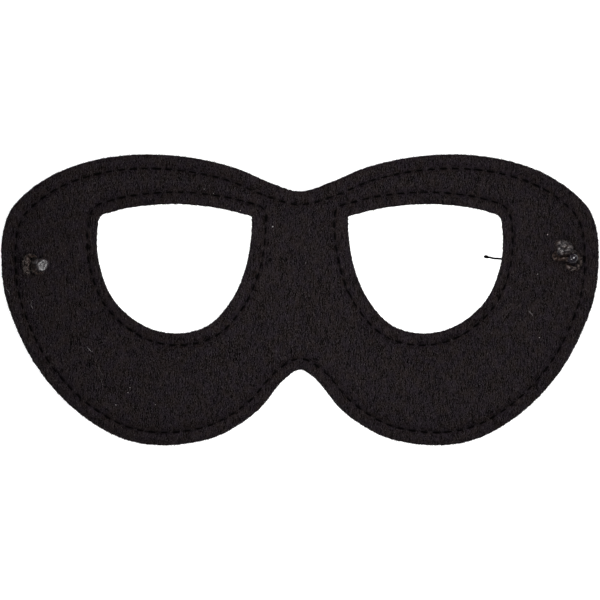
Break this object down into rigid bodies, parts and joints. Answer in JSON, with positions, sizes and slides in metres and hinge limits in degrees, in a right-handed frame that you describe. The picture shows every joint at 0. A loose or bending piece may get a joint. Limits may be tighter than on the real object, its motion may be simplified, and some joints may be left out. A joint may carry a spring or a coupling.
{
  "type": "domino mask",
  "caption": "Flat half mask of thick black felt with two wide eye openings and an elastic head band knotted through a hole at each side.",
  "frame": {"origin": "on the surface the mask lies on, under the middle of the felt", "axes": "+X towards the wearer's left along the mask's width, +Y towards the brow, +Z out of the mask's face"},
  "size_m": [0.18, 0.0875, 0.0101],
  "materials": {
    "felt": "matt black pressed felt with a short nap, fine lint and black stitching along its edges",
    "elastic": "braided black round elastic with a satin gloss"
  },
  "bodies": {
    "root": {"felt_mask": "felt", "elastic_band": "elastic", "knot_left": "elastic", "knot_right": "elastic"}
  },
  "joints": []
}
